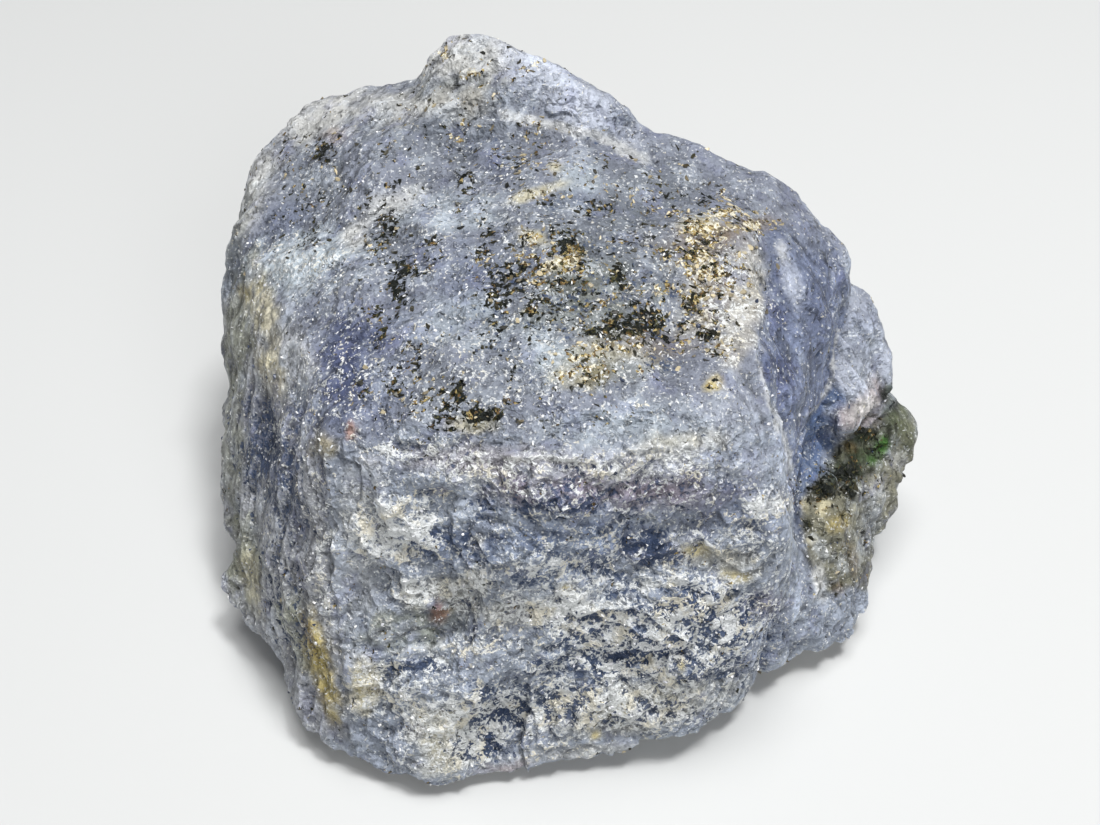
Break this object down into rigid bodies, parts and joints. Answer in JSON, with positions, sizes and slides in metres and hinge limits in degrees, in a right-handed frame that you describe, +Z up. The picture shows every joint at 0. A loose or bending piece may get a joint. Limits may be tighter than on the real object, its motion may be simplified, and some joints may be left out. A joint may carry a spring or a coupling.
{
  "type": "rough iolite",
  "caption": "Rough broken lump of granular violet-blue iolite with mica flecks, a raised knob at the back and a small flat spot to rest on.",
  "frame": {"origin": "under the middle of the stone, on the surface it rests on", "axes": "+X to the right across the broad broken front face, which is the stone's longest way; +Y from the front face to the back; +Z up from the flat spot, the stone's shortest way"},
  "size_m": [0.0564, 0.0498, 0.0381],
  "materials": {
    "iolite": "rough sugary broken surface, violet grey, slightly translucent at thin edges"
  },
  "bodies": {
    "root": {"iolite": "iolite"}
  },
  "joints": []
}
